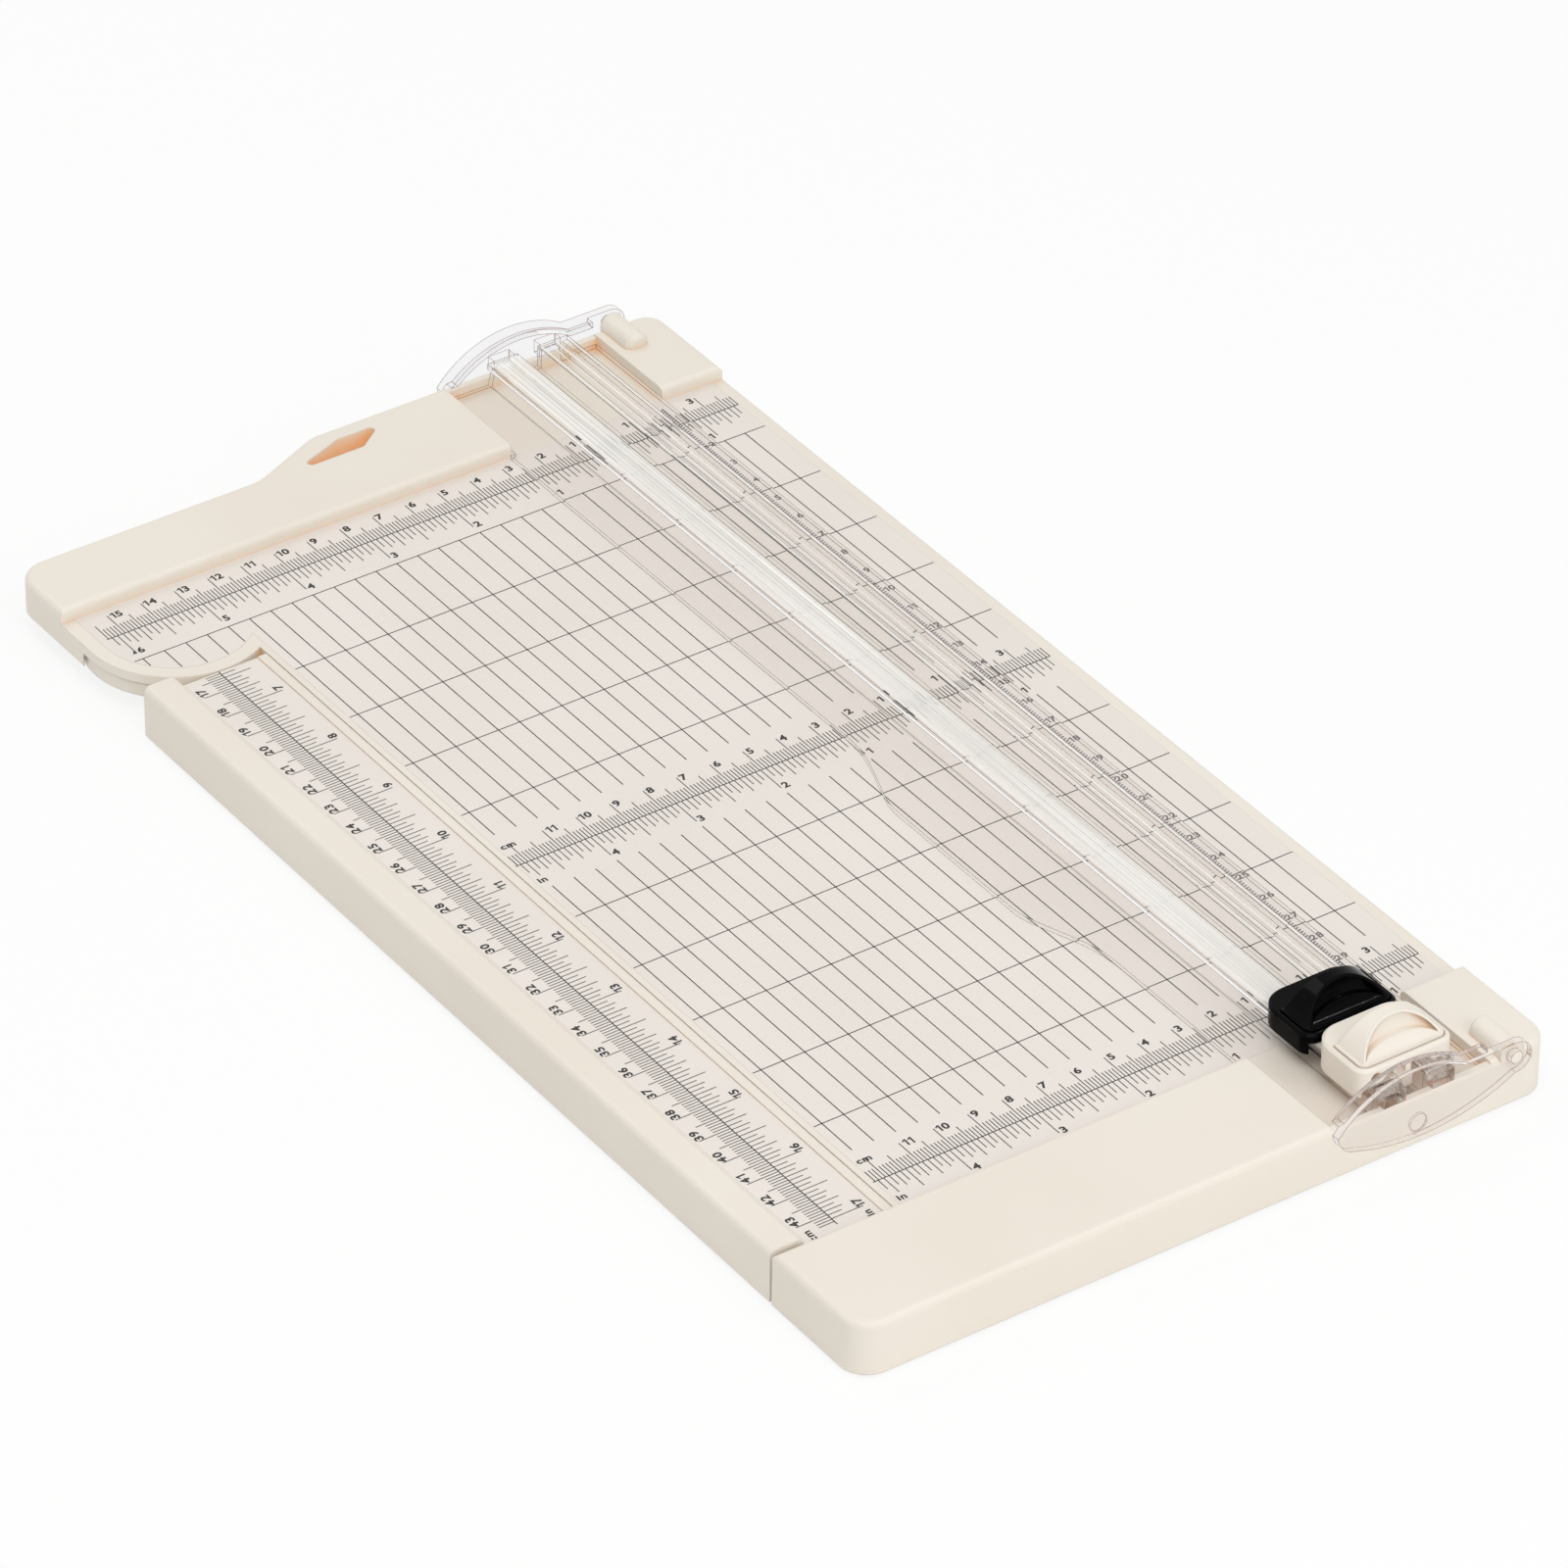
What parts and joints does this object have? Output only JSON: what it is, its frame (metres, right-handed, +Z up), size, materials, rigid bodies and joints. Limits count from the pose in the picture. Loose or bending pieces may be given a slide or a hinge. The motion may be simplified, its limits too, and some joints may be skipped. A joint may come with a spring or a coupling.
{
  "type": "paper cutter",
  "caption": "Ivory portable paper cutter with printed deck, fold-out ruler arm, hinged clear rail and sliding cutting and scoring carriages",
  "frame": {"origin": "bottom centre of the bounding box, on the table", "axes": "X to the right across the cutter, towards the rail's hinge; Y along the cut, towards the rear bar; Z up"},
  "size_m": [0.203, 0.3904, 0.0334],
  "materials": {
    "ivory_plastic": "satin moulded plastic",
    "printed_sheet": "printed plastic sheet",
    "mat_plastic": "soft plastic strip",
    "foot_rubber": "matte rubber",
    "clear_plastic": "clear moulded plastic",
    "black_plastic": "glossy moulded plastic",
    "steel": "bare steel"
  },
  "bodies": {
    "base": {"base_shell": "ivory_plastic", "deck_sheet": "printed_sheet", "cutting_mat": "mat_plastic", "rubber_feet": "foot_rubber", "pivot_washer": "steel", "pivot_screw": "steel", "front_hinge_pin": "ivory_plastic", "rear_hinge_pin": "ivory_plastic"},
    "arm": {"arm_bar": "ivory_plastic", "arm_sheet": "printed_sheet"},
    "rail": {"rail_track": "clear_plastic", "front_end_plate": "clear_plastic", "rear_end_plate": "clear_plastic"},
    "cut_slider": {"cut_shuttle": "ivory_plastic", "cut_springs": "steel"},
    "cut_plunger": {"cut_knob": "ivory_plastic", "cut_holder": "ivory_plastic", "cut_blade": "steel"},
    "score_slider": {"score_shuttle": "black_plastic", "score_springs": "steel"},
    "score_plunger": {"score_knob": "black_plastic", "score_holder": "black_plastic", "score_tip": "steel"}
  },
  "joints": [
    {"name": "arm_swing", "type": "hinge", "parent": "base", "child": "arm", "pos_m": [-0.0769, 0.1447, 0.0069], "axis": [0, 0, 1], "range_deg": [-90, 0]},
    {"name": "rail_lift", "type": "hinge", "parent": "base", "child": "rail", "pos_m": [0.0884, 0, 0.0164], "axis": [0, 1, 0], "range_deg": [0, 95]},
    {"name": "cut_slide", "type": "slide", "parent": "rail", "child": "cut_slider", "axis": [0, 1, 0], "range_m": [0, 0.31]},
    {"name": "cut_press", "type": "slide", "parent": "cut_slider", "child": "cut_plunger", "axis": [0, 0, -1], "range_m": [0, 0.001], "stiffness_N_per_m": 400, "springref_m": -0.001, "deforming": ["cut_springs"]},
    {"name": "score_slide", "type": "slide", "parent": "cut_slider", "child": "score_slider", "axis": [0, 1, 0], "range_m": [0, 0.026]},
    {"name": "score_press", "type": "slide", "parent": "score_slider", "child": "score_plunger", "axis": [0, 0, -1], "range_m": [0, 0.001], "stiffness_N_per_m": 400, "springref_m": -0.001, "deforming": ["score_springs"]}
  ]
}
